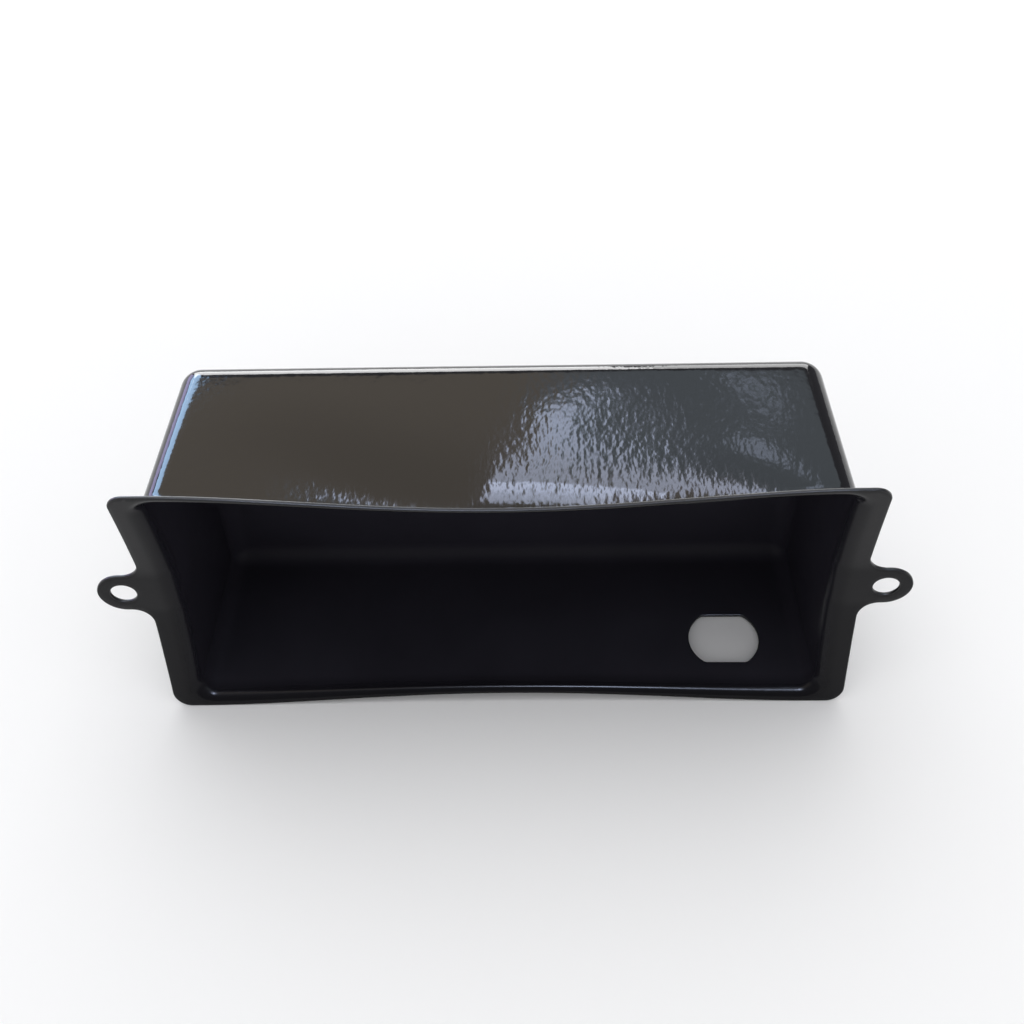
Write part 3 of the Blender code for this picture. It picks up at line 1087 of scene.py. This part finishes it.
def reflected_panel(name, azimuths, elevations, radiance, colour, tilt=0.0):
    """A panel for the gloss to mirror, given by the degrees it spans round and up. Tilt leans its top."""
    azimuth = math.radians(sum(azimuths) / 2)
    elevation = math.radians(sum(elevations) / 2)
    level = math.cos(elevation)
    towards = Vector((math.sin(azimuth) * level, math.cos(azimuth) * level, math.sin(elevation)))
    width = PANEL_DISTANCE * level * math.radians(azimuths[1] - azimuths[0])
    height = PANEL_DISTANCE * math.radians(elevations[1] - elevations[0])
    lamp = area_light(name, towards, PANEL_DISTANCE, width, height, radiance, colour)
    lamp.rotation_euler.rotate_axis("Z", math.radians(tilt))
    lamp.visible_diffuse = False
    return lamp


key = area_light("overhead_key", KEY_TOWARDS, KEY_DISTANCE, KEY_SIZE, KEY_SIZE, KEY_RADIANCE, WHITE)
key.visible_glossy = False
reflected_panel("window", (-5.3, -0.2), (36.9, 96.9), 7.6, WINDOW, -8.4)
reflected_panel("window_top", (-40.5, -15.9), (75.0, 97.0), 8.5, WINDOW, -28.0)
reflected_panel("streak_back", (9.0, 11.5), (36.35, 36.85), 4.0, WINDOW)
reflected_panel("streak_side", (8.0, 10.2), (39.6, 42.6), 2.6, WINDOW)
reflected_panel("flecks", (4.2, 4.7), (39.6, 40.4), 3.0, WINDOW)
reflected_panel("low_back_left", (-28.0, 4.0), (2.0, 28.0), 8.5, WHITE)
reflected_panel("low_back_right", (4.0, 24.0), (2.0, 28.0), 5.0, WHITE)
reflected_panel("sky_left", (-40.0, -18.0), (18.0, 34.0), 10.5, SKY)
reflected_panel("haze_left", (-60.0, -30.0), (0.0, 16.0), 4.0, HAZE)
reflected_panel("overhead_lamp", (148.0, 182.0), (66.0, 78.0), 55.0, WINDOW)

# %% [markdown]
# ## The camera
#
# The camera stands where the photograph was taken. Its height, turn, roll and focal length come from a fit
# of the pan's outline and holes to the photograph, and its place is given by where the middle of the mouth
# lies in front of the lens. The Standard view keeps the floor white and the paint dark, without a film
# curve.

# %% Camera
VIEW_ELEVATION = math.radians(49.027)
VIEW_YAW = math.radians(-2.258)
VIEW_ROLL = math.radians(2.34)
MOUTH_FROM_LENS = Vector((-0.002583, -0.025199, -0.385298))
PICTURE_WIDTH = 1024
FOCAL_PIXELS = 1470.4
SENSOR = 36.0
NEAREST_SEEN = 0.01


def photo_camera():
    """A camera at the photograph's angle, placed by where the mouth's centre lies in front of it."""
    look = Matrix.Rotation(-VIEW_YAW, 3, "Z") @ Matrix.Rotation(QUARTER - VIEW_ELEVATION, 3, "X")
    look = look @ Matrix.Rotation(-VIEW_ROLL, 3, "Z")
    eye = -(look @ MOUTH_FROM_LENS)
    data = bpy.data.cameras.new("photo_camera")
    data.sensor_width = SENSOR
    data.lens = SENSOR * FOCAL_PIXELS / PICTURE_WIDTH
    data.clip_start = NEAREST_SEEN
    camera = bpy.data.objects.new("photo_camera", data)
    bpy.context.scene.collection.objects.link(camera)
    camera.matrix_world = at_rest @ Matrix.Translation(eye) @ look.to_4x4()
    bpy.context.scene.camera = camera
    return camera


camera = photo_camera()
bpy.context.scene.view_settings.view_transform = "Standard"
print("camera at", [round(c, 4) for c in camera.matrix_world.translation])
